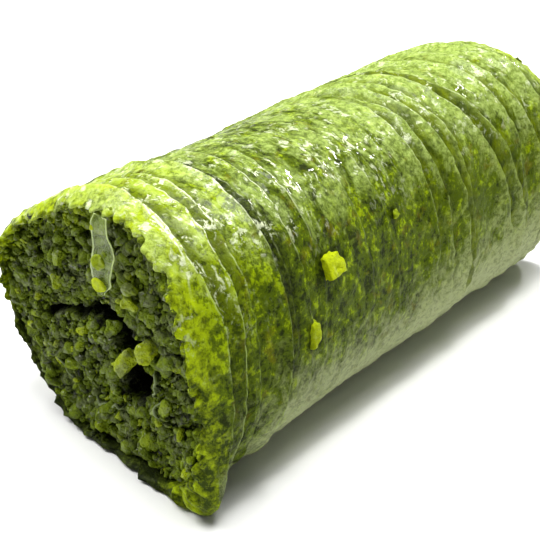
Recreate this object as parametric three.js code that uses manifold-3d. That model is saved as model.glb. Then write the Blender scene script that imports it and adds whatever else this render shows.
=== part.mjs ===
// A pistachio roll: thin syrup-soaked pastry wound round a coarse ground-pistachio filling and
// cut to a short log. It lies along Y on its sagged base, its shown cut end towards -Y.
// Millimetres, +Z up. The origin is the middle of its footprint, on the table.
import * as THREE from 'three';
import { mergeVertices } from 'three/addons/utils/BufferGeometryUtils.js';
import Module from 'manifold-3d';

// Driving dimensions of the roll.
const WIDTH = 29.5;
const SECTION_HEIGHT = 25.6;      // height of the section before its base sags flat
const AXIS_HEIGHT = 10.9;         // from the table to the roll's own axis
const LENGTH = 55.3;
const WALL = 0.9;                 // the wound pastry layers together
const GAP = 0.3;                  // between pieces that touch

// The section is not quite round: how far it leans and swells, in millimetres.
const LEAN = 0.71;
const THREE_LOBES = [-0.77, -0.14];
const FOUR_LOBES = [-0.03, -0.26];
const SIDE_SHIFT = 0.77;          // brings the swollen section back over its axis

// The knife leaned: millimetres of front cut per millimetre of X and of Z.
const CUT_LEAN_X = -0.21;
const CUT_LEAN_Z = -0.094;
const CUT_MID_HEIGHT = 13;
const BACK_LEAN_X = 0.05;
const BACK_LEAN_Z = -0.06;

// The pastry's soft edge at each cut.
const RIM_ROUND = 0.6;            // how far the edge rounds inwards
const RIM_REACH = 1.21;           // the pastry's even rows start this far behind the edge
const RIM_RAGGED = 0.45;          // how far the edge strays from the cut
const RIM_WAVES = 4;
const RIM_STEP = 0.35;            // the edge's rounding starts this far behind it
const RIM_DEPTH = 1.1;            // its smooth inside starts this far behind the cut
const BASE_RIM_RISE = 0.7;        // under the roll the edge rises off the table as it rounds
const FILLING_RECESS = 1.5;       // the filling lies this far behind the pastry's edge
const LOOSE_SHARE = 0.9;          // its crumbly face calms down beyond this share of the way out

// Relief fades out near the table, from this far above it.
const GROUNDED_FROM = 0.2;
const GROUNDED_OVER = 2.5;
const RAGGED_OVER = 3;

// One corner of the cut is splayed on the table, and the side opposite is torn inwards, filling
// and all.
const SPLAY = { angle: -42, spread: 13, out: 2.7, reach: 4.2 };
const TEAR = { angle: 210, spread: 28, inwards: 1.3, reach: 3.5 };

// At the top the pastry's edge is drawn back from the cut.
const DRAWN_BACK = { angle: 78, spread: 42, back: 1.2 };

// At the torn side the filling comes this much nearer to the pastry's edge.
const FILLED_OUT = { angle: 222, spread: 40, ahead: 1.0 };

// Pleats of the pastry, each a ring round the roll. At 45 degrees above the right side its crest
// is at y, and it drifts by drift mm round the roll. It stands height mm proud where the angle is
// centre, fading over spread degrees, and falls away over width mm towards the front.
const PLEATS = [
  { y: -28.0, drift: 0.2, height: 0.95, width: 2.0, centre: 55, spread: 80 },
  { y: -25.4, drift: -0.7, height: 0.65, width: 2.0, centre: 50, spread: 70 },
  { y: -23.6, drift: -0.3, height: 0.45, width: 1.2, centre: 68, spread: 40 },
  { y: -20.8, drift: -0.5, height: 1.05, width: 2.6, centre: 40, spread: 75 },
  { y: -17, drift: -0.2, height: 0.5, width: 2.4, centre: 90, spread: 50 },
  { y: -8.5, drift: 0.6, height: 0.18, width: 5.0, centre: 65, spread: 60 },
  { y: 1.6, drift: 0, height: 0.5, width: 3.0, centre: 32, spread: 70 },
  { y: 3.6, drift: 1.5, height: 0.55, width: 1.7, centre: 37, spread: 60 },
  { y: 5.5, drift: 2.9, height: 0.85, width: 1.6, centre: 56, spread: 65 },
  { y: 7.6, drift: 1.1, height: 0.65, width: 1.6, centre: 22, spread: 60 },
  { y: 11.6, drift: 4.9, height: 0.7, width: 2.6, centre: 60, spread: 75 },
  { y: 13.5, drift: 6, height: 0.8, width: 2.0, centre: 32, spread: 70 },
  { y: 17.6, drift: 2.2, height: 0.6, width: 2.2, centre: 75, spread: 60 },
  { y: 19.8, drift: 3.2, height: 0.8, width: 1.8, centre: 37, spread: 75 },
  { y: 23.6, drift: 1, height: 0.7, width: 2.4, centre: 50, spread: 90 },
];
const PLEAT_BACKGROUND = 0.35;    // share of its height that a pleat keeps right round the roll
const PLEAT_DROP = 0.35;          // a crest falls to its groove within this length
const GROOVE_DEPTH = 0.45;        // groove below the skin, as a share of its pleat's height
const GROOVE_LENGTH = 1.0;
const PLEAT_WANDER = 0.3;         // how much a pleat's height varies round the roll
const PLEAT_WAVES = 2.5;

// Pleats nearer the front than CROWD_FROM crowd together where the roll is shorter.
const CROWD_FROM = -8;
const CROWD_OVER = 22;
const CROWD_SLACK = 0.5;

// How finely the pastry is divided.
const AROUND = 48;
const ROWS_BETWEEN_CRESTS = [0.14, 0.42, 0.75];
const ROWS_ON_SMOOTH_SKIN = [0.05, 0.12, 0.28, 0.46, 0.64, 0.82];
const SMOOTH_STRETCH = 6;         // a gap between pleats longer than this is smooth skin
const ROW_SPACE = 0.12;           // rows of one angle stay at least this far apart
const INNER_ROWS = 3;

// The gap that the rolled-up filling leaves on the cut face: points [x, z, width] along its middle.
// It is a slit where the inner turn starts and a hole where the turn ends.
const HOLLOW_PATH = [
  [-7.3, 10.6, 0.5],
  [-3.7, 12.2, 0.6],
  [-1.2, 13.0, 0.9],
  [0.8, 13.9, 1.5],
  [2.9, 13.3, 2.6],
  [4.4, 12.2, 3.8],
  [5.1, 10.5, 3.3],
  [4.6, 8.8, 3.2],
  [2.7, 7.4, 0.8],
];
const HOLLOW_DEPTH = 8;
const HOLLOW_STEPS = 24;
const HOLLOW_AHEAD = 6;           // the cutting shape starts this far ahead of the face

// Pieces of nut at the hollow's edge: [x, z, length, breadth, turn in degrees].
const BRIDGE_NUTS = [
  [4.3, 10.6, 4.5, 2.2, 52],
  [7.4, 12.9, 2.5, 2.2, 75],
  [2.0, 12.6, 2.3, 1.6, 80],
];
const NUTS_PER_END = 26;
const NUT_SIZE = [1.5, 2.9];
const NUTS_OUT_TO = 0.84;         // share of the way to the pastry
const NUT_PROUD = 0.1;            // how far a nut's middle stands out, as a share of its breadth
const GOLDEN_ANGLE = 137.5;

// Bits of nut that stick to the outside of the pastry: y, angle, length, breadth, thickness.
const CRUMBS = [
  { y: -13.5, angle: 27, length: 2.7, breadth: 2.4, thickness: 1.5 },
  { y: -16.8, angle: 6, length: 1.2, breadth: 2.4, thickness: 0.8 },
  { y: -3.6, angle: 32, length: 1.1, breadth: 1.0, thickness: 0.6 },
];

// The torn shred of pastry that hangs from the rim over the cut face. It is that far ahead of the
// plane of the cut at its top and at its tip.
const SHRED = {
  x: 4.0, top: 23.9, bottom: 17.5, width: 2.3, thickness: 0.35, sway: 0.25,
  aheadAtTop: -0.45, aheadAtBottom: 0.4,
};

const degrees = Math.PI / 180;
const { sin, cos, abs, min, max, hypot, floor, exp } = Math;

function clamp(value, low, high) {
  return min(high, max(low, value));
}

function smooth(t) {
  const u = clamp(t, 0, 1);
  return u * u * (3 - 2 * u);
}

// Shortest way round from one angle to another, in degrees.
function turnBetween(a, b) {
  return abs(((a - b + 540) % 360 + 360) % 360 - 180);
}

// A repeatable number from 0 to 1 for a lattice point.
function chance(i, j, k) {
  const n = sin(i * 127.1 + j * 311.7 + k * 74.7) * 43758.5453;
  return n - floor(n);
}

// Smooth noise from -1 to 1 over a plane.
function noise(x, y, seed) {
  const i = floor(x);
  const j = floor(y);
  const u = smooth(x - i);
  const v = smooth(y - j);
  const near = chance(i, j, seed) * (1 - u) + chance(i + 1, j, seed) * u;
  const far = chance(i, j + 1, seed) * (1 - u) + chance(i + 1, j + 1, seed) * u;
  return 2 * (near * (1 - v) + far * v) - 1;
}

// Smooth noise from -1 to 1 round the roll, without a seam. More lobes make it busier.
function ringNoise(angle, lobes, seed) {
  return noise(lobes * cos(angle * degrees) + seed, lobes * sin(angle * degrees) - seed, seed);
}

// Point of the section at an angle round the axis, `inset` mm inside the skin. Z is cut off at
// `floorHeight`, where the table flattens it.
function section(angle, inset, floorHeight) {
  const a = angle * degrees;
  const swell = 1 + (LEAN * sin(2 * a)
    + THREE_LOBES[0] * cos(3 * a) + THREE_LOBES[1] * sin(3 * a)
    + FOUR_LOBES[0] * cos(4 * a) + FOUR_LOBES[1] * sin(4 * a)) / (WIDTH / 2);
  const x = (WIDTH / 2 * swell - inset) * cos(a) + SIDE_SHIFT;
  const z = (SECTION_HEIGHT / 2 * swell - inset) * sin(a) + AXIS_HEIGHT;
  return { x, z: max(z, floorHeight) };
}

// Where the knife cut, over a point of the section.
function frontCut(x, z) {
  return -LENGTH / 2 + CUT_LEAN_X * x + CUT_LEAN_Z * (z - CUT_MID_HEIGHT);
}

function backCut(x, z) {
  return LENGTH / 2 + BACK_LEAN_X * x + BACK_LEAN_Z * (z - CUT_MID_HEIGHT);
}

// How strongly something centred on an angle is felt at another, from 1 down to 0.
function swellAt(angle, local) {
  const off = turnBetween(angle, local.angle) / local.spread;
  return exp(-off * off);
}

function drawnBack(angle) {
  return DRAWN_BACK.back * swellAt(angle, DRAWN_BACK);
}

function frontRim(angle) {
  const p = section(angle, 0, 0);
  const ragged = ringNoise(angle, RIM_WAVES, 1.3) * RIM_RAGGED * smooth(p.z / RAGGED_OVER);
  return frontCut(p.x, p.z) + ragged + drawnBack(angle);
}

function backRim(angle) {
  const p = section(angle, 0, 0);
  const ragged = ringNoise(angle, RIM_WAVES, 2.7) * RIM_RAGGED * smooth(p.z / RAGGED_OVER);
  return backCut(p.x, p.z) + ragged;
}

// Near the slanted front cut the pleats crowd together on the side where the roll is shorter.
function crestAt(pleat, angle) {
  const shorter = max(0, frontRim(angle) - frontRim(45) - CROWD_SLACK);
  const crowd = clamp((CROWD_FROM - pleat.y) / CROWD_OVER, 0, 1) * shorter;
  return pleat.y + pleat.drift * sin((45 - angle) * degrees) + crowd;
}

function pleatHeight(pleat, angle) {
  const wander = 1 + PLEAT_WANDER * ringNoise(angle, PLEAT_WAVES, pleat.y);
  const share = swellAt(angle, { angle: pleat.centre, spread: pleat.spread });
  return pleat.height * wander * (PLEAT_BACKGROUND + (1 - PLEAT_BACKGROUND) * share);
}

// How far the pleats lift the skin: a gentle rise to each crest, then a drop into its groove.
function skinRelief(angle, y) {
  let lift = 0;
  let groove = 0;
  for (const pleat of PLEATS) {
    const past = y - crestAt(pleat, angle);
    const height = pleatHeight(pleat, angle);
    if (past <= 0) {
      lift = max(lift, height * max(0, 1 + past / pleat.width) ** 1.4);
    } else if (past < GROOVE_LENGTH) {
      const fallen = smooth(past / PLEAT_DROP);
      lift = max(lift, height * (1 - fallen));
      groove = max(groove, height * GROOVE_DEPTH * fallen * (1 - smooth(past / GROOVE_LENGTH)));
    }
  }
  return lift - groove;
}

// How far the splayed corner stands out, near the front cut.
function splay(angle, behindRim) {
  return SPLAY.out * swellAt(angle, SPLAY) * (1 - smooth(behindRim / SPLAY.reach));
}

// How far the torn side lies inwards at the front cut.
function tornIn(angle) {
  return TEAR.inwards * swellAt(angle, TEAR);
}

// Outer skin at an angle and a Y, or a point `inset` mm inside it.
function skinPoint(angle, y, inset) {
  const grounded = smooth((section(angle, 0, 0).z - GROUNDED_FROM) / GROUNDED_OVER);
  const behindRim = y - frontRim(angle);
  const out = splay(angle, behindRim) * (1 - inset / WALL);
  const torn = tornIn(angle) * (1 - smooth(behindRim / TEAR.reach));
  const relief = skinRelief(angle, y) * grounded + out - torn;
  const p = section(angle, inset - relief, inset * BASE_RIM_RISE);
  return new THREE.Vector3(p.x, y, p.z);
}

// A closed body from a rectangular grid: `place` gives a point for each column and row, and both
// run round in a loop.
function loopedBody(columns, rows, place) {
  const geometry = new THREE.PlaneGeometry(1, 1, columns, rows);
  const position = geometry.attributes.position;
  for (let k = 0; k < position.count; k += 1) {
    const column = k % (columns + 1);
    const row = floor(k / (columns + 1));
    const p = place(column % columns, row % rows);
    position.setXYZ(k, p.x, p.y, p.z);
  }
  return welded(geometry);
}

function welded(geometry) {
  geometry.deleteAttribute('normal');
  geometry.deleteAttribute('uv');
  return mergeVertices(geometry, 1e-5);
}

// The Y of every row of the outer skin at one angle, from the front rim to the back one. Rows
// follow the crests, so each crest and each groove is an edge.
function rowPositions(angle) {
  const start = frontRim(angle) + RIM_REACH;
  const end = backRim(angle) - RIM_REACH;
  const stops = [start, ...PLEATS.map((pleat) => crestAt(pleat, angle)), end];
  const rows = [];
  for (let i = 0; i + 1 < stops.length; i += 1) {
    const from = max(stops[i], start + ROW_SPACE * i);
    const to = max(stops[i + 1], from + ROW_SPACE);
    const span = to - from;
    rows.push(from);
    const shares = longSpan(i) ? ROWS_ON_SMOOTH_SKIN : ROWS_BETWEEN_CRESTS;
    for (const share of shares) {
      rows.push(from + share * span);
    }
  }
  rows.push(end);
  return rows;
}

// The wide smooth stretch in the middle of the roll needs more rows than a pleat does.
function longSpan(i) {
  return i > 0 && i < PLEATS.length && PLEATS[i].y - PLEATS[i - 1].y > SMOOTH_STRETCH;
}

function makeWrap() {
  const angles = [];
  const rowsAt = [];
  for (let column = 0; column < AROUND; column += 1) {
    angles.push(column * 360 / AROUND);
    rowsAt.push(rowPositions(angles[column]));
  }
  const outerRows = rowsAt[0].length;
  const rim = [
    { behind: RIM_STEP, inset: 0.3 * RIM_ROUND },
    { behind: 0, inset: 0.8 * RIM_ROUND },
    { behind: RIM_STEP, inset: WALL },
  ];
  const place = (column, row) => {
    const angle = angles[column];
    let k = row;
    if (k < outerRows) {
      return skinPoint(angle, rowsAt[column][k], 0);
    }
    k -= outerRows;
    if (k < rim.length) {
      return skinPoint(angle, backRim(angle) - rim[k].behind, rim[k].inset);
    }
    k -= rim.length;
    if (k < INNER_ROWS) {
      return innerPoint(angle, 1 - k / (INNER_ROWS - 1));
    }
    k -= INNER_ROWS;
    const step = rim[rim.length - 1 - k];
    return skinPoint(angle, frontRim(angle) + step.behind, step.inset);
  };
  return loopedBody(AROUND, outerRows + 2 * rim.length + INNER_ROWS, place);
}

// The tear runs out towards the middle of the roll. `share` is 0 at the front and 1 at the back.
function taper(share) {
  return max(0, 1 - 2 * share);
}

// The pastry's smooth inside, from the front (0) to the back (1).
function innerPoint(angle, share) {
  const p = section(angle, WALL + tornIn(angle) * taper(share), WALL);
  const front = frontCut(p.x, p.z) + drawnBack(angle) + RIM_DEPTH;
  const back = backCut(p.x, p.z) - RIM_DEPTH;
  return new THREE.Vector3(p.x, front + (back - front) * share, p.z);
}

// Relief of the crumbly filling on a cut face, outwards.
function crumble(x, z, seed) {
  return 0.45 * noise(x / 1.7, z / 1.7, seed) + 0.3 * noise(x / 0.9, z / 0.9, seed + 1);
}

const FACE_RINGS = 13;
const FACE_AROUND = 44;
const SIDE_ROWS = 3;

// The filling before its nuts are added: a plug that runs through the roll.
function fillingCore() {
  const inset = WALL + GAP;
  const rows = 2 * FACE_RINGS + SIDE_ROWS - 1;
  const geometry = new THREE.SphereGeometry(1, FACE_AROUND, rows);
  const position = geometry.attributes.position;
  for (let k = 0; k < position.count; k += 1) {
    const column = k % (FACE_AROUND + 1) % FACE_AROUND;
    const row = floor(k / (FACE_AROUND + 1));
    const along = clamp((row - FACE_RINGS) / (SIDE_ROWS - 1), 0, 1);
    const angle = column * 360 / FACE_AROUND;
    const edge = section(angle, inset + tornIn(angle) * taper(along), inset);
    const front = row <= FACE_RINGS;
    const back = row >= rows - FACE_RINGS;
    const share = front ? row / FACE_RINGS : back ? (rows - row) / FACE_RINGS : 1;
    const x = SIDE_SHIFT + (edge.x - SIDE_SHIFT) * share;
    const z = AXIS_HEIGHT + (edge.z - AXIS_HEIGHT) * share;
    const yFront = fillingFront(x, z, share);
    const yBack = fillingBack(x, z, share);
    position.setXYZ(k, x, yFront + (yBack - yFront) * along, z);
  }
  return welded(geometry);
}

function loose(share) {
  return 1 - smooth((share - LOOSE_SHARE) / (1 - LOOSE_SHARE));
}

// Y of the filling's cut faces. `share` is 0 in the middle of a face and 1 at its edge.
function fillingFront(x, z, share) {
  const angle = Math.atan2((z - AXIS_HEIGHT) / SECTION_HEIGHT, (x - SIDE_SHIFT) / WIDTH) / degrees;
  const atEdge = drawnBack(angle) - FILLED_OUT.ahead * swellAt(angle, FILLED_OUT);
  const behind = FILLING_RECESS + atEdge * share * share;
  return frontCut(x, z) + behind - crumble(x, z, 11) * loose(share);
}

function fillingBack(x, z, share) {
  return backCut(x, z) - FILLING_RECESS + crumble(x, z, 21) * loose(share);
}

// The middle line of the hollow, with the width as its third number.
const hollowPath = new THREE.CatmullRomCurve3(
  HOLLOW_PATH.map((spot) => new THREE.Vector3(...spot)), false, 'catmullrom', 0.5);

// The hollow's outline as a flat shape in X and Z.
function hollowShape() {
  const left = [];
  const right = [];
  for (let i = 0; i <= HOLLOW_STEPS; i += 1) {
    const middle = hollowPath.getPoint(i / HOLLOW_STEPS);
    const along = hollowPath.getTangent(i / HOLLOW_STEPS);
    const half = middle.z / 2 / hypot(along.x, along.y);
    left.push(new THREE.Vector2(middle.x - along.y * half, middle.y + along.x * half));
    right.push(new THREE.Vector2(middle.x + along.y * half, middle.y - along.x * half));
  }
  return new THREE.Shape([...left, ...right.reverse()]);
}

function hollowGeometry() {
  const geometry = new THREE.ExtrudeGeometry(hollowShape(), {
    depth: HOLLOW_DEPTH + HOLLOW_AHEAD, bevelEnabled: false, steps: 1,
  });
  // Shape X, Y and extrusion become X, Z and -Y, so the hollow runs in from the front cut.
  geometry.rotateX(Math.PI / 2);
  geometry.translate(0, -LENGTH / 2 + HOLLOW_DEPTH, 0);
  return welded(geometry);
}

// How far a spot on the face is from the edge of the hollow, outside it.
function clearanceToHollow(x, z) {
  let nearest = Infinity;
  for (let i = 0; i <= HOLLOW_STEPS; i += 1) {
    const middle = hollowPath.getPoint(i / HOLLOW_STEPS);
    nearest = min(nearest, hypot(x - middle.x, z - middle.y) - middle.z / 2);
  }
  return nearest;
}

// A rough piece of nut: a twenty-sided solid with uneven corners.
function nut(length, breadth, thickness, seed) {
  const geometry = welded(new THREE.IcosahedronGeometry(0.5, 0));
  const position = geometry.attributes.position;
  for (let k = 0; k < position.count; k += 1) {
    const uneven = 0.85 + 0.3 * chance(k, seed, 5);
    position.setXYZ(k, position.getX(k) * uneven, position.getY(k) * uneven, position.getZ(k) * uneven);
  }
  geometry.scale(length * 1.05, thickness * 1.05, breadth * 1.05);
  return geometry;
}

// Nuts pressed into one cut face. `side` is -1 at the front and 1 at the back.
function faceNuts(side) {
  const pieces = [];
  const add = (x, z, share, length, breadth, turn, seed) => {
    const geometry = nut(length, breadth, min(length, breadth), seed);
    geometry.rotateY(turn * degrees);
    const face = side < 0 ? fillingFront(x, z, share) : fillingBack(x, z, share);
    geometry.translate(x, face + side * NUT_PROUD * breadth, z);
    pieces.push(geometry);
  };
  if (side < 0) {
    BRIDGE_NUTS.forEach(([x, z, length, breadth, turn], i) => {
      add(x, z, 0, length, breadth, -turn, i);
    });
  }
  for (let i = 0; i < NUTS_PER_END; i += 1) {
    // Spread evenly over the face by the golden angle, clear of the hollow and of the pastry.
    const seed = i + (side < 0 ? 40 : 80);
    const angle = i * GOLDEN_ANGLE + 20 * chance(seed, 1, 6);
    const reach = NUTS_OUT_TO * Math.sqrt((i + 0.6) / NUTS_PER_END);
    const edge = section(angle, WALL + GAP, WALL + GAP);
    const x = SIDE_SHIFT + (edge.x - SIDE_SHIFT) * reach;
    const z = AXIS_HEIGHT + (edge.z - AXIS_HEIGHT) * reach;
    const length = NUT_SIZE[0] + (NUT_SIZE[1] - NUT_SIZE[0]) * chance(seed, 2, 6);
    if (side > 0 || clearanceToHollow(x, z) > length / 2) {
      const breadth = length * (0.6 + 0.35 * chance(seed, 3, 6));
      add(x, z, reach, length, breadth, 180 * chance(seed, 4, 6), seed);
    }
  }
  return pieces;
}

// A bit of nut stuck on the pastry, half sunk in it.
function crumbGeometry(crumb, seed) {
  const geometry = nut(crumb.thickness, crumb.breadth, crumb.length, seed);
  geometry.rotateY(-crumb.angle * degrees);
  const p = skinPoint(crumb.angle, crumb.y, 0.1);
  geometry.translate(p.x, p.y, p.z);
  return geometry;
}

// The hanging shred: a wavy strip a few tenths thick, bowed out over the cut face.
function shredGeometry() {
  const rows = 10;
  const across = 4;
  const length = SHRED.top - SHRED.bottom;
  const geometry = new THREE.BoxGeometry(SHRED.width, SHRED.thickness, length, across, 1, rows);
  const position = geometry.attributes.position;
  for (let k = 0; k < position.count; k += 1) {
    const down = 0.5 - position.getZ(k) / length;
    const narrow = (0.72 + 0.5 * sin(down * 2.6)) * (1 - 0.75 * smooth((down - 0.8) / 0.2));
    const x = SHRED.x + position.getX(k) * narrow + SHRED.sway * sin(down * Math.PI);
    const z = SHRED.top - down * length;
    const wave = 0.15 * sin(down * 11) + 0.12 * cos(position.getX(k) * 3 + down * 4);
    const ahead = SHRED.aheadAtTop + (SHRED.aheadAtBottom - SHRED.aheadAtTop) * down;
    const y = frontCut(x, z) - ahead - wave + position.getY(k);
    position.setXYZ(k, x, y, z);
  }
  return welded(geometry);
}

const wasm = await Module();
wasm.setup();

function solid(geometry) {
  return new wasm.Manifold(new wasm.Mesh({
    numProp: 3,
    vertProperties: new Float32Array(geometry.attributes.position.array),
    triVerts: new Uint32Array(geometry.index.array),
  }));
}

function geometryOf(body) {
  const mesh = body.getMesh();
  const geometry = new THREE.BufferGeometry();
  geometry.setAttribute('position', new THREE.BufferAttribute(mesh.vertProperties, mesh.numProp));
  geometry.setIndex(new THREE.BufferAttribute(mesh.triVerts, 1));
  return geometry;
}

function makeFilling() {
  let body = solid(fillingCore()).subtract(solid(hollowGeometry()));
  for (const piece of [...faceNuts(-1), ...faceNuts(1)]) {
    body = body.add(solid(piece));
  }
  return geometryOf(body);
}

function makeWrapWithCrumbs() {
  let body = solid(makeWrap());
  CRUMBS.forEach((crumb, i) => {
    body = body.add(solid(crumbGeometry(crumb, 120 + i)));
  });
  return geometryOf(body);
}

const pastry = new THREE.MeshStandardMaterial({ color: 0x8fa83c, roughness: 0.28, metalness: 0 });
const filling = new THREE.MeshStandardMaterial({ color: 0x5c7320, roughness: 0.6, metalness: 0 });
const film = new THREE.MeshStandardMaterial({ color: 0xb4c48a, roughness: 0.25, metalness: 0 });

function named(name, geometry, material) {
  const mesh = new THREE.Mesh(geometry, material);
  mesh.name = name;
  return mesh;
}

const roll = new THREE.Group();
roll.add(named('pastry_wrap', makeWrapWithCrumbs(), pastry));
roll.add(named('pistachio_filling', makeFilling(), filling));
roll.add(named('pastry_shred', shredGeometry(), film));

// The footprint's middle becomes the origin.
const bounds = new THREE.Box3().setFromObject(roll);
const middle = bounds.getCenter(new THREE.Vector3());
roll.position.set(-middle.x, -middle.y, -bounds.min.z);

export default roll;
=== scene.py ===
"""A pistachio roll: wet, pleated, see-through pastry round a filling of coarse ground pistachio.

The roll lies along Y with its leaning cut towards -Y. Shapes are worked out in millimetres in the
roll's own frame, whose Y axis runs through its middle, and are placed by the frame's own box.
"""
import math

import bmesh
import bpy
import numpy as np
from mathutils import Matrix, Vector


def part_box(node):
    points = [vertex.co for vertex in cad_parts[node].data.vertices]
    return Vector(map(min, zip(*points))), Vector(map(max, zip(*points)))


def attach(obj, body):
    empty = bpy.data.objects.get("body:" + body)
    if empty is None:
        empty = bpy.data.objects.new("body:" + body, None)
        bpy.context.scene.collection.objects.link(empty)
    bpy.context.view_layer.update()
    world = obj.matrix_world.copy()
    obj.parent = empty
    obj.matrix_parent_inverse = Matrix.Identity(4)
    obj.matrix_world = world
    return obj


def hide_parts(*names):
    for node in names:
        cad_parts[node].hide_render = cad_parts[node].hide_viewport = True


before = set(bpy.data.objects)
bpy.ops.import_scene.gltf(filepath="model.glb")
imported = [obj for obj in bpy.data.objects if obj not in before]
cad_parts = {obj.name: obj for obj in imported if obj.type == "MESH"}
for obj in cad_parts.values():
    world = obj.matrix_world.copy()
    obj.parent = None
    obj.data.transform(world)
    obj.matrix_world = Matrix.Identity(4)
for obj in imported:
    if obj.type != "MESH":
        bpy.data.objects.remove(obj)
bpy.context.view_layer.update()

MM = 0.001

# The roll's driving dimensions, in millimetres, as the solids have them.
WIDTH = 29.5
SECTION_HEIGHT = 25.6
AXIS_HEIGHT = 10.9
LENGTH = 55.3
WALL = 0.9
LEAN = 0.71
THREE_LOBES = (-0.77, -0.14)
FOUR_LOBES = (-0.03, -0.26)
SIDE_SHIFT = 0.77
CUT_LEAN_X, CUT_LEAN_Z, CUT_MID_HEIGHT = -0.21, -0.094, 13
BACK_LEAN_X, BACK_LEAN_Z = 0.05, -0.06
RIM_REACH = 1.21
RIM_RAGGED = 0.45
RIM_WAVES = 4
RAGGED_OVER = 3                # the edge grows ragged over this height
BASE_RIM_RISE = 0.7
FILLING_RECESS = 1.5

# Relief grows from nothing at the table: from this height, over this height.
GROUNDED_FROM = 0.2
GROUNDED_OVER = 2.5

# Round the cut: the corner splayed on the table, the side torn inwards, the edge drawn back at the
# top, and the filling nearer to the edge at the torn side.
SPLAY = dict(angle=-42, spread=13, out=2.7, reach=4.2)
TEAR = dict(angle=210, spread=28, inwards=1.3, reach=3.5)
DRAWN_BACK = dict(angle=78, spread=42, back=1.2)
FILLED_OUT = dict(angle=222, spread=40, ahead=1.0)

# Each pleat is (y, drift, height, width, centre, spread), as the solids have it.
PLEATS = (
    (-28.0, 0.2, 0.95, 2.0, 55, 80),
    (-25.4, -0.7, 0.65, 2.0, 50, 70),
    (-23.6, -0.3, 0.45, 1.2, 68, 40),
    (-20.8, -0.5, 1.05, 2.6, 40, 75),
    (-17.0, -0.2, 0.5, 2.4, 90, 50),
    (-8.5, 0.6, 0.18, 5.0, 65, 60),
    (1.6, 0, 0.5, 3.0, 32, 70),
    (3.6, 1.5, 0.55, 1.7, 37, 60),
    (5.5, 2.9, 0.85, 1.6, 56, 65),
    (7.6, 1.1, 0.65, 1.6, 22, 60),
    (11.6, 4.9, 0.7, 2.6, 60, 75),
    (13.5, 6.0, 0.8, 2.0, 32, 70),
    (17.6, 2.2, 0.6, 2.2, 75, 60),
    (19.8, 3.2, 0.8, 1.8, 37, 75),
    (23.6, 1.0, 0.7, 2.4, 50, 90),
)
# Slighter folds of the film, finer than the solids show, each as a pleat is.
FOLDS = (
    (-18.9, 0.3, 0.3, 0.9, 56, 13),
    (-14.6, -0.6, 0.2, 1.2, 62, 22),
    (-5.2, 1.5, 0.3, 1.3, 62, 20),
    (-1.2, 0.8, 0.16, 1.0, 70, 26),
)
PLEAT_BACKGROUND = 0.35
PLEAT_DROP = 0.35
PLEAT_HOLLOWING = 1.4
PLEAT_WANDER = 0.3
PLEAT_WAVES = 2.5
GROOVE_DEPTH = 0.45
GROOVE_LENGTH = 1.0
CREST_LEAN = 0.22

# Crests in front of here crowd together where the front edge is drawn back.
CROWD_FROM = -8
CROWD_OVER = 22                # how much further front they crowd fully
CROWD_SLACK = 0.5              # how far the edge is drawn back before any crest moves

# Small wiggles of each crest: how far, how many round the roll, and which.
WIGGLES = ((0.16, 7, 30), (0.11, 19, 60))

LINED_HEIGHT = 0.5             # a crest of this height or more has the full white line
SHADED_HEIGHT = 0.7            # and of this height or more the full shade behind it
SHADE_FADES, SHADE_GONE = 1.6, 2.8    # so many times its height behind the crest
NO_CREST = 2.0                 # how far the nearest crest is where none is near

# The gap that the rolled-up filling leaves on the cut: X, Z and width along its middle.
HOLLOW_PATH = (
    (-7.3, 10.6, 0.5), (-3.7, 12.2, 0.6), (-1.2, 13.0, 0.9), (0.8, 13.9, 1.5), (2.9, 13.3, 2.6),
    (4.4, 12.2, 3.8), (5.1, 10.5, 3.3), (4.6, 8.8, 3.2), (2.7, 7.4, 0.8),
)
HOLLOW_DEPTH = 8

# The bits of nut on the outside: y, angle, length along, breadth round, thickness, tone.
CRUMBS = (
    (-13.5, 27, 2.6, 2.3, 1.6, 1.0),
    (-16.8, 6, 1.3, 2.5, 1.4, 0.8),
    (-3.6, 32, 0.9, 0.8, 0.6, 0.6),
)

SHRED = dict(x=4.0, top=23.9, bottom=17.5, width=2.3, thickness=0.16, sway=0.25,
             ahead_top=-0.45, ahead_bottom=0.4)

# Where round the roll its wet crests catch the light: painted highlights there, and more coat.
GLEAM = dict(angle=60, spread=15)

# Where the camera stood, in the roll's own frame, and how it was turned.
CAMERA_SPOT = (67.756, -89.769, 62.060)
CAMERA_TURN, CAMERA_LIFT, CAMERA_ROLL = 38.154, 26.097, -0.355
CAMERA_LENS, CAMERA_SENSOR = 85.719, 36
CAMERA_SEES = (0.005, 10)      # metres


def ease(t):
    """Smooth step from 0 to 1."""
    u = np.clip(t, 0, 1)
    return u * u * (3 - 2 * u)


def rise(value, low, high):
    return ease((value - low) / (high - low))


def turn_between(a, b):
    """Shortest way round from one angle to another, in degrees."""
    return np.abs(((a - b + 540) % 360 + 360) % 360 - 180)


def chance(i, j, k):
    """A repeatable number from 0 to 1 for a lattice point."""
    n = np.sin(i * 127.1 + j * 311.7 + k * 74.7) * 43758.5453
    return n - np.floor(n)


def noise(x, y, seed):
    """Smooth noise from -1 to 1 over a plane."""
    i, j = np.floor(x), np.floor(y)
    u, v = ease(x - i), ease(y - j)
    near = chance(i, j, seed) * (1 - u) + chance(i + 1, j, seed) * u
    far = chance(i, j + 1, seed) * (1 - u) + chance(i + 1, j + 1, seed) * u
    return 2 * (near * (1 - v) + far * v) - 1


def lump_noise(x, y, z, size, seed):
    """Smooth noise from -1 to 1 in space, with lumps of that size."""
    k = np.floor(z / size)
    w = ease(z / size - k)
    low = noise(x / size + k * 17.3, y / size - k * 9.1, seed)
    high = noise(x / size + (k + 1) * 17.3, y / size - (k + 1) * 9.1, seed)
    return low * (1 - w) + high * w


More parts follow.
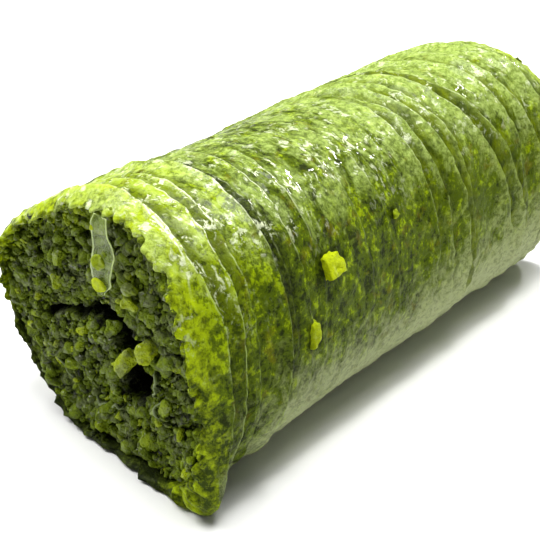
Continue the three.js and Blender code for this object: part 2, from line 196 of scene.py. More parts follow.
def layered(x, y, z, layers):
    """Noise in space, in layers of (strength, size of lumps, which noise)."""
    return sum(strength * lump_noise(x, y, z, size, which) for strength, size, which in layers)


PEBBLE_RADIUS = 0.75           # as a share of the space between lumps


def pebbles(x, y, z, size, seed):
    """Rounded lumps packed in space: height from 0 between lumps to 1 on top, and a tone for each."""
    spot = np.stack(np.broadcast_arrays(x, y, z), -1) / size
    home = np.floor(spot)
    nearest = np.full(spot.shape[:-1], np.inf)
    tone = np.zeros(spot.shape[:-1])
    for step in np.ndindex(3, 3, 3):
        i, j, k = np.moveaxis(home + np.array(step) - 1, -1, 0)
        row = j + 41.3 * k
        middle = np.stack([i + chance(i, row, seed), j + chance(i, row, seed + 1),
                           k + chance(i, row, seed + 2)], -1)
        gap = np.linalg.norm(spot - middle, axis=-1)
        closer = gap < nearest
        tone = np.where(closer, chance(i, row, seed + 3), tone)
        nearest = np.minimum(nearest, gap)
    return np.clip(1 - (nearest / PEBBLE_RADIUS) ** 2, 0, 1), tone


def ring_noise(angle, lobes, seed):
    a = np.radians(angle)
    return noise(lobes * np.cos(a) + seed, lobes * np.sin(a) - seed, seed)


def section(angle, inset, floor_height):
    """X and Z of the section at an angle, inset mm inside the skin, flattened on the table."""
    a = np.radians(angle)
    swell = 1 + (LEAN * np.sin(2 * a)
                 + THREE_LOBES[0] * np.cos(3 * a) + THREE_LOBES[1] * np.sin(3 * a)
                 + FOUR_LOBES[0] * np.cos(4 * a) + FOUR_LOBES[1] * np.sin(4 * a)) / (WIDTH / 2)
    x = (WIDTH / 2 * swell - inset) * np.cos(a) + SIDE_SHIFT
    z = (SECTION_HEIGHT / 2 * swell - inset) * np.sin(a) + AXIS_HEIGHT
    return x, np.maximum(z, floor_height)


def front_cut(x, z):
    return -LENGTH / 2 + CUT_LEAN_X * x + CUT_LEAN_Z * (z - CUT_MID_HEIGHT)


def back_cut(x, z):
    return LENGTH / 2 + BACK_LEAN_X * x + BACK_LEAN_Z * (z - CUT_MID_HEIGHT)


def swell_at(angle, local):
    """How strongly something centred on an angle is felt at another, from 1 down to 0."""
    off = turn_between(angle, local["angle"]) / local["spread"]
    return np.exp(-off * off)


def drawn_back(angle):
    return DRAWN_BACK["back"] * swell_at(angle, DRAWN_BACK)


def front_rim(angle):
    x, z = section(angle, 0, 0)
    ragged = ring_noise(angle, RIM_WAVES, 1.3) * RIM_RAGGED * ease(z / RAGGED_OVER)
    return front_cut(x, z) + ragged + drawn_back(angle)


def back_rim(angle):
    x, z = section(angle, 0, 0)
    ragged = ring_noise(angle, RIM_WAVES, 2.7) * RIM_RAGGED * ease(z / RAGGED_OVER)
    return back_cut(x, z) + ragged


def crest_at(pleat, angle):
    y, drift = pleat[:2]
    drawn = np.maximum(0, front_rim(angle) - front_rim(45) - CROWD_SLACK)
    crowd = np.clip((CROWD_FROM - y) / CROWD_OVER, 0, 1) * drawn
    return y + drift * np.sin(np.radians(45 - angle)) + crowd


def pleat_height(pleat, angle):
    y, _, height, _, centre, spread = pleat
    off = turn_between(angle, centre) / spread
    wander = 1 + PLEAT_WANDER * ring_noise(angle, PLEAT_WAVES, y)
    return height * wander * (PLEAT_BACKGROUND + (1 - PLEAT_BACKGROUND) * np.exp(-off * off))


def pleat_wiggle(angle, index):
    """How far a crest strays from its even ring, finer than the solids show."""
    return sum(far * ring_noise(angle, lobes, first + index) for far, lobes, first in WIGGLES)


def skin_relief(angle, y, wiggle=True):
    """The pleats' lift off the skin and their grooves, in millimetres, how far each point is from
    the nearest crest and how tall that is, and how deep it is in the shade behind one."""
    lift, groove, shade, tallest = (np.zeros(np.broadcast(angle, y).shape) for _ in range(4))
    near = np.full(lift.shape, NO_CREST)
    for index, pleat in enumerate(PLEATS + (FOLDS if wiggle else ())):
        past = y - crest_at(pleat, angle)
        if wiggle:
            past = past - pleat_wiggle(angle, index)
        height = pleat_height(pleat, angle)
        climb = np.maximum(0, 1 + np.minimum(past, 0) / pleat[3])
        fallen = ease(past / PLEAT_DROP)
        after = height * (1 - fallen)
        lift = np.maximum(lift, np.where(past <= 0, height * climb ** PLEAT_HOLLOWING, after))
        dip = height * GROOVE_DEPTH * fallen * (1 - ease(past / GROOVE_LENGTH))
        groove = np.maximum(groove, np.where(past > 0, dip, 0))
        tall = np.clip(height / LINED_HEIGHT, 0, 1)
        tallest = np.where(np.abs(past) < near, tall, tallest)
        near = np.minimum(near, np.abs(past))
        gone = rise(past, SHADE_FADES * height, 0.1 + SHADE_GONE * height)
        band = rise(past, 0.0, 0.12) * (1 - gone) * np.clip(height / SHADED_HEIGHT, 0, 1)
        shade = np.maximum(shade, np.where(past > 0, band, 0))
    return lift, groove, near, tallest, shade


def torn_in(angle):
    return TEAR["inwards"] * swell_at(angle, TEAR)


def skin_point(angle, y, inset, extra=0, wiggle=True):
    """Outer skin at an angle and a Y, or inset mm inside it, with extra mm of finer relief."""
    grounded = ease((section(angle, 0, 0)[1] - GROUNDED_FROM) / GROUNDED_OVER)
    behind = y - front_rim(angle)
    lift, groove = skin_relief(angle, y, wiggle)[:2]
    splay = SPLAY["out"] * swell_at(angle, SPLAY) * (1 - ease(behind / SPLAY["reach"]))
    torn = torn_in(angle) * (1 - ease(behind / TEAR["reach"]))
    relief = (lift - groove + extra) * grounded + splay * np.maximum(0, 1 - inset / WALL) - torn
    return section(angle, inset - relief, inset * BASE_RIM_RISE)


def own_frame_shift():
    """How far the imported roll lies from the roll's own frame, in millimetres along X and Y.

    The solids' pastry has 48 columns, and its furthest points are on its crests and back rim."""
    angles = np.arange(48) * 7.5
    widest = max(
        skin_point(angles, crest_at(pleat, angles), 0, wiggle=False)[0].max() for pleat in PLEATS)
    _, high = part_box("pastry_wrap")
    return np.array([high.x / MM - widest, high.y / MM - back_rim(angles).max(), 0.0])


SHIFT = own_frame_shift()


def placed(points):
    """Millimetres in the roll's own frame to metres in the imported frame."""
    return (np.asarray(points) + SHIFT) * MM


# Meshes

WELD = 0.0002
TABLE_GAP = 0.02               # grains stay this far above the table
CHIPPED = (0.24, 0.42)         # how far out a grain's flat chips lie, the grain being 1 across
GRIT = ((1, 0.8, 14), (0.6, 0.35, 15))


def added(name, data):
    """A new object in the scene, for a mesh, a light or a camera."""
    made = bpy.data.objects.new(name, data)
    bpy.context.scene.collection.objects.link(made)
    return made


def add_piece(name, mesh, finish, replaced=()):
    piece = added(name, mesh)
    mesh.materials.append(finish)
    mesh.shade_smooth()
    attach(piece, "root")
    if replaced:
        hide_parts(*replaced)
    return piece


def mark(mesh, name, values):
    """Stores one number for each vertex, for a material to read."""
    layer = mesh.attributes.new(name, "FLOAT", "POINT")
    layer.data.foreach_set("value", np.asarray(values, np.float32).ravel())


def sheet_mesh(name, points, marks, uv=None):
    """A closed mesh from rows and columns of points, welded where its edges meet."""
    points = placed(points)
    rows, columns = points.shape[0] - 1, points.shape[1] - 1
    bm = bmesh.new()
    bmesh.ops.create_grid(bm, x_segments=columns, y_segments=rows, size=0.5)
    mesh = bpy.data.meshes.new(name)
    bm.to_mesh(mesh)
    bm.free()
    flat = np.zeros(len(mesh.vertices) * 3, np.float32)
    mesh.vertices.foreach_get("co", flat)
    flat = flat.reshape(-1, 3)
    column = np.rint((flat[:, 0] + 0.5) * columns).astype(int)
    row = np.rint((flat[:, 1] + 0.5) * rows).astype(int)
    mesh.vertices.foreach_set("co", points[row, column].astype(np.float32).ravel())
    for label, values in marks.items():
        mark(mesh, label, values[row, column])
    if uv is not None:
        corner = np.zeros(len(mesh.loops), np.int32)
        mesh.loops.foreach_get("vertex_index", corner)
        layer = mesh.uv_layers.new(name="round")
        layer.data.foreach_set("uv", uv[row, column][corner].astype(np.float32).ravel())
    bm = bmesh.new()
    bm.from_mesh(mesh)
    bmesh.ops.remove_doubles(bm, verts=bm.verts[:], dist=WELD * MM)
    bmesh.ops.recalc_face_normals(bm, faces=bm.faces[:])
    bm.to_mesh(mesh)
    bm.free()
    return mesh


def lump_template(cuts, boxy):
    """Points and faces of a lump 1 across, from a ball (boxy 0) to a block (boxy 1)."""
    bm = bmesh.new()
    bmesh.ops.create_cube(bm, size=1.0)
    bmesh.ops.subdivide_edges(bm, edges=bm.edges[:], cuts=cuts, use_grid_fill=True)
    points = np.array([v.co for v in bm.verts])
    faces = np.array([[v.index for v in f.verts] for f in bm.faces])
    bm.free()
    ball = points / np.linalg.norm(points, axis=1, keepdims=True) / 2
    return ball + (points * 0.9 - ball) * boxy, faces


def random_turns(rng, count):
    """That many random rotation matrices."""
    q = rng.normal(size=(count, 4))
    q /= np.linalg.norm(q, axis=1, keepdims=True)
    w, x, y, z = q.T
    return np.stack([
        np.stack([1 - 2 * (y * y + z * z), 2 * (x * y - w * z), 2 * (x * z + w * y)], -1),
        np.stack([2 * (x * y + w * z), 1 - 2 * (x * x + z * z), 2 * (y * z - w * x)], -1),
        np.stack([2 * (x * z - w * y), 2 * (y * z + w * x), 1 - 2 * (x * x + y * y)], -1),
    ], -2)


def lean_turns(turn, lean):
    """Rotations that point each piece's length up by turn on the cut face and inwards by lean."""
    a, b = np.radians(turn), np.radians(lean)
    length = np.stack([np.cos(a) * np.cos(b), np.sin(b), np.sin(a) * np.cos(b)], -1)
    out = np.stack([-np.cos(a) * np.sin(b), np.cos(b), -np.sin(a) * np.sin(b)], -1)
    return np.stack([length, out, np.cross(length, out)], -1)


def grains_mesh(name, rng, centres, sizes, tones, cuts=1, boxy=0.3, chips=5, rough=0.05, turns=None,
                grit=0.0):
    """Many chopped grains as one mesh, each with its own flat chips. Tone is 0 dark to 1 bright,
    and grit is how rough their faces are, in millimetres."""
    points, faces = lump_template(cuts, boxy)
    count = len(centres)
    turns = random_turns(rng, count) if turns is None else turns
    body = np.broadcast_to(points, (count, *points.shape)).copy()
    for _ in range(chips):
        way = rng.normal(size=(count, 3))
        way /= np.linalg.norm(way, axis=1, keepdims=True)
        over = np.einsum("nvi,ni->nv", body, way) - rng.uniform(*CHIPPED, (count, 1))
        body -= np.maximum(over, 0)[..., None] * way[:, None]
    body *= 1 + rng.normal(0, rough, body.shape[:2])[..., None]
    body *= np.asarray(sizes)[:, None, :]
    body = np.einsum("nij,nvj->nvi", turns, body)
    out = body / np.maximum(np.linalg.norm(body, axis=-1, keepdims=True), 1e-6)
    body = body + np.asarray(centres)[:, None, :]
    body = body + out * (grit * layered(*np.moveaxis(body, -1, 0), GRIT))[..., None]
    body[..., 2] = np.maximum(body[..., 2], TABLE_GAP)
    corners = (faces[None] + (np.arange(count) * len(points))[:, None, None]).reshape(-1, 4)
    mesh = bpy.data.meshes.new(name)
    mesh.from_pydata(placed(body.reshape(-1, 3)).tolist(), [], corners.tolist())
    mark(mesh, "tone", np.repeat(tones, len(points)))
    return mesh


# Materials


def colour(red, green, blue):
    """A colour as the photo shows it, 0 to 255, as Blender's own linear values."""
    return tuple(
        c / 12.92 if c <= 0.04045 else ((c + 0.055) / 1.055) ** 2.4
        for c in (red / 255, green / 255, blue / 255)) + (1.0,)


class Signal:
    """A number that varies over a surface. Operators on it add Math nodes."""

    def __init__(self, finish, socket):
        self.finish = finish
        self.socket = socket

    def maths(self, operation, *others):
        return self.finish.number(
            "ShaderNodeMath", {"operation": operation}, dict(enumerate((self, *others))))

    def __add__(self, other):
        return self.maths("ADD", other)

    __radd__ = __add__

    def __mul__(self, other):
        return self.maths("MULTIPLY", other)

    __rmul__ = __mul__

    def __sub__(self, other):
        return self.maths("SUBTRACT", other)

    def __rsub__(self, other):
        return (self * -1) + other

    def clamp(self):
        return self.maths("MAXIMUM", 0.0).maths("MINIMUM", 1.0)

    def between(self, low, high):
        """0 below low, 1 above high, smooth between."""
        return self.finish.number(
            "ShaderNodeMapRange", {"interpolation_type": "SMOOTHSTEP"},
            {"Value": self, "From Min": low, "From Max": high})


class Finish:
    """One material's nodes."""

    def __init__(self, name):
        self.material = bpy.data.materials.new(name)
        self.material.use_nodes = True
        self.tree = self.material.node_tree
        self.tree.nodes.clear()

    def node(self, kind, settings=None, inputs=None):
        made = self.tree.nodes.new(kind)
        for key, value in (settings or {}).items():
            setattr(made, key, value)
        for key, value in (inputs or {}).items():
            self.feed(made.inputs[key], value)
        return made

    def feed(self, socket, value):
        """Links a signal or another node's socket, or sets a plain value."""
        if isinstance(value, Signal):
            value = value.socket
        if isinstance(value, bpy.types.NodeSocket):
            self.tree.links.new(value, socket)
        else:
            socket.default_value = value

    def number(self, kind, settings=None, inputs=None, output=0):
        return Signal(self, self.node(kind, settings, inputs).outputs[output])

    def stored(self, name):
        """A number that the mesh stores for each vertex."""
        return self.number("ShaderNodeAttribute", {"attribute_name": name}, output="Fac")

    def place(self, stretch=(1, 1, 1), on="Object"):
        """Where on the piece, in millimetres, stretched."""
        at = self.node("ShaderNodeTexCoord").outputs[on]
        scale = tuple(1 / MM * s for s in stretch)
        return self.node("ShaderNodeMapping", None, {"Vector": at, "Scale": scale}).outputs[0]

    def cloud(self, size, detail=3.0, rough=0.5, twist=0.0, stretch=(1, 1, 1), on="Object"):
        """Noise with features of that many millimetres."""
        return self.number("ShaderNodeTexNoise", None, {
            "Vector": self.place(stretch, on), "Scale": 1 / size, "Detail": detail,
            "Roughness": rough, "Distortion": twist})

    def mix(self, first, second, factor):
        made = self.node("ShaderNodeMix", {"data_type": "RGBA"})
        for key, value in (("Factor_Float", factor), ("A_Color", first), ("B_Color", second)):
            self.feed(next(s for s in made.inputs if s.identifier == key), value)
        return next(s for s in made.outputs if s.identifier == "Result_Color")

    def bump(self, height, depth, normal=None):
        """A bump of that depth in millimetres for height 0 to 1."""
        inputs = {"Height": height, "Distance": depth * MM, "Strength": 1.0}
        if normal is not None:
            inputs["Normal"] = normal
        return self.node("ShaderNodeBump", None, inputs).outputs[0]

    def surface(self, **inputs):
        shader = self.node(
            "ShaderNodeBsdfPrincipled", None, {k.replace("_", " "): v for k, v in inputs.items()})
        self.node("ShaderNodeOutputMaterial", None, {"Surface": shader.outputs[0]})
        return self.material


def pastry_finish():
    """Wet pastry film over ground nut: green where it clings, pale where it lifts off."""
    f = Finish("wet_pastry")
    near, tall, shade, lift = (f.stored(n) for n in ("near", "tall", "shade", "lift"))
    foot_haze_and_reflection, top_haze_and_sheen, lip, pit = (f.stored(n) for n in ("foot_haze_and_reflection", "top_haze_and_sheen", "lip", "pit"))
    tone, lit, far, gleam = (f.stored(n) for n in ("tone", "lit", "far", "gleam"))
    under = f.stored("under")

    # The ground nut under the film, and its own grain along the cut edges.
    mottle = f.cloud(1.3, 5.0, 0.66, 0.4, (0.5, 1.0, 1), "UV")
    speck = f.cloud(0.5, 6.0, 0.76, 0.2)
    grainy = (mottle * 0.45 + speck * 0.65 - 0.55) * (1 - far * 0.35) + 0.5
    # Painted light and shade: the nut is lighter high up near the front, and darker low down and down
    # between its lumps.
    level = grainy - 0.015 + 0.125 * lit + 0.02 * far - 0.025 * under
    level = level + 0.06 * (tone - 0.5) - 0.05 * pit
    nut = f.mix(colour(36, 46, 0), colour(78, 96, 0), level.between(0.37, 0.46))
    nut = f.mix(nut, colour(152, 176, 0), level.between(0.48, 0.6))
    nut = f.mix(nut, colour(118, 108, 0), f.cloud(1.5, 3.0, 0.6).between(0.58, 0.68) * 0.4)
    # Painted light and shade on the edge's grains too: lighter high up, darker at the foot, and darker
    # down between them except where lit.
    grain = (tone * 0.7 + (grainy - 0.5) * 5 + 0.36 * lit - 0.1 * foot_haze_and_reflection).clamp()
    grain = f.mix(colour(52, 66, 0), colour(170, 192, 8), grain)
    grain = f.mix(grain, colour(36, 48, 0), pit.between(0.55, 1.0) * (0.6 - 0.4 * lit))
    nut = f.mix(nut, grain, (lip * 0.85).clamp())

    # The pale haze of the film where it lifts off the nut, with painted light on it high up near the
    # front, a painted sheen over the top and a painted reflection of the table at the foot.
    veil = f.cloud(1.6, 5.0, 0.7, 0.8, (0.55, 1.0, 1), "UV")
    base = 0.95 * top_haze_and_sheen + 1.6 * foot_haze_and_reflection + far * (0.3 + 0.9 * lift) + 0.3 * lift
    cover = ((veil - 0.5) * (6 - 3.4 * foot_haze_and_reflection) + base - 0.4 * lip + 0.5 * lip * top_haze_and_sheen - 0.5).clamp()
    haze = f.mix(colour(92, 108, 16), colour(144, 160, 80), far)
    haze = f.mix(haze, colour(166, 190, 94), top_haze_and_sheen)
    haze = f.mix(haze, colour(194, 214, 98), (lit * (0.3 + lift * 0.6)).clamp())
    haze = f.mix(haze, colour(174, 182, 136), foot_haze_and_reflection)
    haze = f.mix(haze, colour(206, 222, 142), speck.between(0.5, 0.62) * (0.12 + 0.4 * top_haze_and_sheen))
    haze = f.mix(haze, nut, speck.between(0.52, 0.41) * (0.75 - 0.45 * foot_haze_and_reflection - 0.25 * top_haze_and_sheen))
    skin = f.mix(nut, haze, cover * (0.7 + 0.24 * foot_haze_and_reflection))

    # The shade behind the crests, and the edge that the filling has stained.
    dim = f.mix(colour(20, 28, 0), colour(60, 74, 0), speck.between(0.4, 0.6))
    far_dim = f.mix(colour(42, 56, 0), colour(106, 122, 0), mottle.between(0.36, 0.62))
    dim = f.mix(dim, far_dim, far)
    skin = f.mix(skin, dim, shade * (0.88 + 0.1 * mottle.between(0.4, 0.6)))
    stain = f.mix(colour(26, 34, 6), colour(84, 98, 40), level.between(0.42, 0.6))
    skin = f.mix(skin, stain, f.stored("stain") * 0.92)

    # Pale lines along the crests, turned white by painted highlights where the wet film catches the
    # light, and white threads of painted glint.
    wisp = f.cloud(0.6, 5.0, 0.72, 0.6, (0.75, 1.0, 1), "UV")
    patch = f.cloud(2.2, 3.0, 0.6).between(0.46, 0.6)
    glint_threads = wisp.between(0.52, 0.6) * patch * (gleam * 0.7 + top_haze_and_sheen * 0.4 + lit * 0.3)
    broken = f.cloud(0.8, 3.0, 0.6).between(0.42, 0.5)
    gone = (f.cloud(5.0, 2.0).between(0.42, 0.54) + 0.6 * lit + 0.4 * gleam).clamp()
    line = (1 - near * 10).clamp() * tall * (0.12 + 0.88 * gone) * (1 - far * 0.6)
    skin = f.mix(skin, colour(160, 182, 84), line * broken)
    skin = f.mix(skin, colour(238, 246, 206), (line * broken * gleam * 1.8 + glint_threads).clamp())

    crinkle = f.cloud(0.4, 4.0, 0.62, 0.6, (0.75, 1.0, 1), "UV")
    normal = f.bump(crinkle, 0.24)
    normal = f.bump(level, 0.28, normal)
    coat = (0.02 + 0.12 * top_haze_and_sheen + 0.22 * gleam) * (1 - shade * 0.9) + 0.4 * line
    return f.surface(
        Base_Color=skin, Roughness=0.42 + 0.14 * foot_haze_and_reflection, Normal=normal,
        Coat_Weight=coat.clamp(), Coat_Roughness=0.05, Specular_IOR_Level=0.08, IOR=1.4)


def nut_finish(name, dark, middle, bright, smear, wet):
    """Ground nut: each grain has its own tone, from dark to bright, with paste smeared over it; on the
    core that tone also holds painted shade between the lumps and in the hollow.
    """
    f = Finish(name)
    tone = f.stored("tone")
    mottle = f.cloud(0.5, 4.0, 0.66)
    base = f.mix(dark, middle, (tone * 2 + (mottle - 0.5) * 2.2).clamp())
    base = f.mix(base, bright, ((tone - 0.5) * 2 + (mottle - 0.5) * 1.2).clamp())
    paste = f.cloud(1.9, 5.0, 0.7, 0.6).between(0.5, 0.62)
    base = f.mix(base, colour(106, 114, 78), paste * smear)
    normal = f.bump(f.cloud(0.55, 3.0, 0.6), 0.5)
    normal = f.bump(f.cloud(0.2, 4.0, 0.7), 0.16, normal)
    return f.surface(
        Base_Color=base, Roughness=0.5 + 0.2 * mottle, Normal=normal, Specular_IOR_Level=0.2,
        Coat_Weight=f.cloud(0.9, 3.0, 0.6).between(0.5, 0.62) * wet, Coat_Roughness=0.08, IOR=1.38)


def film_finish(name, thin, thick, edge, least, wet):
    """A scrap of pastry film with light coming through it."""
    f = Finish(name)
    fleck = f.cloud(0.6, 4.0, 0.6)
    crest = f.stored("crest")
    base = f.mix(thin, thick, fleck.between(0.35, 0.65))
    base = f.mix(base, edge, crest)
    alpha = (least + 0.3 * fleck + 0.5 * crest).clamp()
    return f.surface(
        Base_Color=base, Roughness=0.6 - 0.5 * wet, Alpha=alpha, Coat_Weight=wet, Coat_Roughness=0.08,
        Normal=f.bump(f.cloud(0.5, 4.0, 0.6), 0.1))


PASTRY = pastry_finish()
FILLING = nut_finish(
    "ground_pistachio", colour(10, 15, 0), colour(110, 130, 14), colour(160, 176, 6), 0.6, 0.4)
RIM_NUT = nut_finish(
    "rim_pistachio", colour(34, 44, 0), colour(118, 138, 2), colour(190, 206, 0), 0.0, 0.4)
FILM = film_finish(
    "pastry_film", colour(92, 112, 30), colour(142, 164, 70), colour(200, 218, 140), 0.08, 0.4)
INNER_FILM = film_finish(
    "inner_film", colour(52, 64, 22), colour(80, 92, 44), colour(100, 114, 62), 0.5, 0.0)


# The pastry round the roll

ROUND_COLUMNS = 264
BASE_COLUMN_SHARE = 0.3        # columns under the roll are spaced this much more thinly
ROW_STEP = 0.19
FEWEST_ROWS = 9                # between one crest and the next
ROW_GAP = 0.12                 # crests stay at least this far apart
CRESTWARDS = 0.6               # how far rows draw towards crests, from 0 to 1
EDGE_FOLD = dict(angle=55, spread=17, behind=1.5)    # a fold that runs along behind the front edge
FRONT_PART = (5, 11)           # the front's own looks end this far behind the front edge
FAR_PART = (-6, 8)             # the far part's own looks begin from here to here along Y
STAIN_FADES = (1.2, 3.5)       # how far behind the front edge the filling's stain fades out
INSIDE_REACH = 1.6             # the inside's even rows start this far behind each cut
MEAN_RADIUS, UV_RADIUS = 13, 13.5    # turn angles into millimetres, for crinkles and for noise
FILM_LUMPS = ((0.08, 1.15, 3), (0.05, 0.7, 4))
SMOOTHEST = dict(y=-8, reach=(6, 12))    # the film is least crinkled here
STAIN_COMES, STAIN_GOES = (178, 206), (-64, -50)    # over these angles


def column_angles():
    """Angles right round from the middle of the base, closest together where the roll shows."""
    fine = np.linspace(-90, 270, 2001)
    density = BASE_COLUMN_SHARE + (1 - BASE_COLUMN_SHARE) * rise(turn_between(fine, -90), 30, 55)
    travelled = np.concatenate([[0], np.cumsum((density[1:] + density[:-1]) / 2)])
    return np.interp(np.linspace(0, travelled[-1], ROUND_COLUMNS + 1), travelled, fine)


def outer_rows(angle):
    """Y of every row of the skin, front to back, closest together beside each crest."""
    start = front_rim(angle) + RIM_REACH
    end = back_rim(angle) - RIM_REACH
    crests = [crest_at(p, angle) + pleat_wiggle(angle, i) for i, p in enumerate(PLEATS + FOLDS)]
    stops = [start, *sorted(crests, key=np.mean), end]
    rows = []
    for i, (near, far) in enumerate(zip(stops, stops[1:])):
        near = np.maximum(near, start + ROW_GAP * i)
        far = np.maximum(far, near + ROW_GAP)
        steps = max(FEWEST_ROWS, int(np.median(far - near) / ROW_STEP))
        share = np.arange(steps) / steps
        eased = 0.5 - 0.5 * np.cos(np.pi * share)
        share = (1 - CRESTWARDS) * share + CRESTWARDS * eased
        rows.extend(near + s * (far - near) for s in share)
    rows.append(np.maximum(end, rows[-1] + 0.02))
    return np.array(rows)


def fine_relief(x, y, z, angle):
    """The film's own lumps and crinkles, in millimetres, how much nut shows through it, and the
    tone of that nut and how far down between its lumps each point is."""
    behind = np.minimum(y - front_rim(angle), back_rim(angle) - y)
    lip = 1 - rise(behind + 0.8 * lump_noise(x, y, z, 1.5, 9), 0.8, 2.6)
    bumps, tone = pebbles(x, y, z, 0.9, 70)
    around = np.radians(angle) * MEAN_RADIUS
    fold = noise(around / 7 + 0.15 * y, y / 1.15 + 0.35 * noise(around / 4, y / 3, 8), 5)
    ridge = 0.2 * (1 - np.abs(fold)) ** 4
    crinkled = 0.25 + 0.75 * rise(np.abs(y - SMOOTHEST["y"]), *SMOOTHEST["reach"])
    relief = layered(x, y, z, FILM_LUMPS) + ridge * crinkled
    return relief + (bumps - 0.4) * (0.09 + 0.05 * lip), lip, tone, 1 - bumps


# From the skin round each cut edge to the inside: how far behind the edge, how far inside.
EDGE = (
    (0.9, 0.02), (0.6, 0.08), (0.34, 0.18), (0.14, 0.32), (0.02, 0.48), (0.0, 0.66), (0.12, 0.84),
    (0.45, 0.96), (1.0, 1.0))


def edge_rows(angle, rim, way, seed):
    """Rows of points round a cut edge, lumpy with nut, with each point's tone and how far down
    between the lumps it is."""
    lines, tones, pits = [], [], []
    for behind, share in EDGE:
        inset = share * WALL
        flat_x, flat_z = section(angle, inset * 1.6, 0)
        bumps, tone = pebbles(flat_x, behind, flat_z, 0.85, seed)
        spot = rim + way * (behind + (0.5 - bumps) * 0.9 * ease(share * 1.6))
        x, z = skin_point(angle, spot, inset, (bumps - 0.4) * 0.1 * ease((1 - share) * 2))
        lines.append(np.stack([x, spot, z], -1))
        tones.append(tone)
        pits.append(1 - bumps)
    return lines, tones, pits


def stained(angle):
    """How dark the filling has made the pastry's edge, which is strongest at the torn side."""
    return rise(angle, *STAIN_COMES) + 1 - rise(angle, *STAIN_GOES)


def height_marks(z):
    """What depends on how high the skin is: its haze at the foot and the top, partly a painted
    reflection of the table and a painted sheen, and its painted light near the front, lighter high up
    and a little darker low down.
    """
    return {"foot_haze_and_reflection": 1 - rise(z, 3.5, 15.5), "top_haze_and_sheen": rise(z, 16.5, 23),
            "lit": rise(z, 11, 20), "under": 1 - rise(z, 5, 12)}


def crumb_shade(angle, y):
    """The shade round each bit of nut on the outside, from 0 to 1."""
    shade = np.zeros(y.shape)
    for spot, turn, length, breadth, *_ in CRUMBS:
        arc = np.radians(turn_between(angle, turn)) * WIDTH / 2
        clear = np.maximum(np.abs(y - spot) - length / 2, arc - breadth / 2)
        shade = np.maximum(shade, 1 - rise(clear, -0.1, 0.75))
    return shade


def skin_grid(angle):
    """Points of the outer skin, row by row, and the marks that the material reads."""
    rows = outer_rows(angle)
    behind = rows - front_rim(angle)
    angle = np.broadcast_to(angle, rows.shape)
    lift, _, near, tall, shade = skin_relief(angle, rows)
    from_fold = np.abs(behind - EDGE_FOLD["behind"])
    tall = np.where(from_fold < near, swell_at(angle, EDGE_FOLD), tall)
    bare_x, bare_z = section(angle, 0, 0)
    fine, lip, tone, pit = fine_relief(bare_x, rows, bare_z, angle)
    x, z = skin_point(angle, rows, 0, fine)
    y = rows + CREST_LEAN * np.clip(lift, 0, 1) ** 2 * ease(bare_z / 3)
    front = 1 - rise(behind, *FRONT_PART)
    far = rise(rows, *FAR_PART)
    low = 1 - rise(bare_z, 12, 19)
    shade = shade * (1 - 0.25 * front) * (1 - 0.3 * low * (1 - far))
    marks = {
        "lift": np.clip(lift / 0.8, 0, 1), "shade": np.maximum(shade, crumb_shade(angle, rows)),
        "near": np.minimum(near, from_fold), "tall": tall, "lip": lip, "pit": pit, "tone": tone,
        "far": far, "gleam": swell_at(angle, GLEAM) * (1 - 0.5 * rise(rows, -16, 0)),
        "stain": stained(angle) * (1 - rise(behind, *STAIN_FADES))}
    for key, values in height_marks(bare_z).items():
        marks[key] = values * (front if key in ("lit", "under") else 1)
    # Less of the painted reflection at the foot on the window's side and near the front.
    marks["foot_haze_and_reflection"] *= (1 - 0.45 * rise(angle, 90, 150)) * (1 - 0.5 * front)
    return np.stack([x, y, z], -1), marks


def inner_rows(angle):
    """Rows of points along the inside of the wall, from the back to the front."""
    lines = []
    for share in (0, 0.5, 1):
        x, z = section(angle, WALL + torn_in(angle) * max(0, 2 * share - 1), WALL)
        start = back_cut(x, z) - INSIDE_REACH
        end = front_cut(x, z) + drawn_back(angle) + INSIDE_REACH
        lines.append(np.stack([x, start + (end - start) * share, z], -1))
    return lines


def make_pastry():
    angle = column_angles()
    outer, marks = skin_grid(angle)
    inner = inner_rows(angle)
    back, back_tones, back_pits = edge_rows(angle, back_rim(angle), -1, 40)
    ahead, ahead_tones, ahead_pits = edge_rows(angle, front_rim(angle), 1, 50)
    points = np.array([*outer, *back, *inner, *ahead[::-1], outer[0]])
    hidden = [angle * 0] * len(inner)
    beyond = height_marks(section(angle, 0, 0)[1])
    beyond["foot_haze_and_reflection"] = beyond["foot_haze_and_reflection"] * 0.2
    beyond["lip"] = 1
    beyond["near"] = NO_CREST
    beyond["stain"] = stained(angle)
    beyond["tone"] = np.array([*back_tones, *hidden, *ahead_tones[::-1], marks["tone"][0]])
    beyond["pit"] = np.array([
        *back_pits, *[line + 1 for line in hidden], *ahead_pits[::-1], marks["pit"][0]])
    shape = len(points) - len(outer), len(angle)
    marks = {
        key: np.vstack([values, np.broadcast_to(beyond.get(key, 0), shape)])
        for key, values in marks.items()}
    arc = np.radians(angle) * UV_RADIUS * MM
    uv = np.stack(np.broadcast_arrays(arc, points[..., 1] * MM), -1)
    mesh = sheet_mesh("pastry", points, marks, uv)
    add_piece("pastry", mesh, PASTRY, ("pastry_wrap",))


# The filling


def crumble(x, z, seed):
    return 0.45 * noise(x / 1.7, z / 1.7, seed) + 0.3 * noise(x / 0.9, z / 0.9, seed + 1)


HOLLOW_STEPS = 12              # from each point of the path to the next


def hollow_line():
    """Points X, Z and width, close together along the middle of the hollow."""
    path = np.array(HOLLOW_PATH)
    path = np.vstack([2 * path[0] - path[1], path, 2 * path[-1] - path[-2]])
    t = np.linspace(0, 1, HOLLOW_STEPS + 1)[:-1, None]
    stretches = []
    for before, start, stop, after in zip(path, path[1:], path[2:], path[3:]):
        stretches.append(0.5 * (
            2 * start + (stop - before) * t + (2 * before - 5 * start + 4 * stop - after) * t ** 2
            + (3 * start - before - 3 * stop + after) * t ** 3))
    return np.concatenate(stretches)


HOLLOW_LINE = hollow_line()


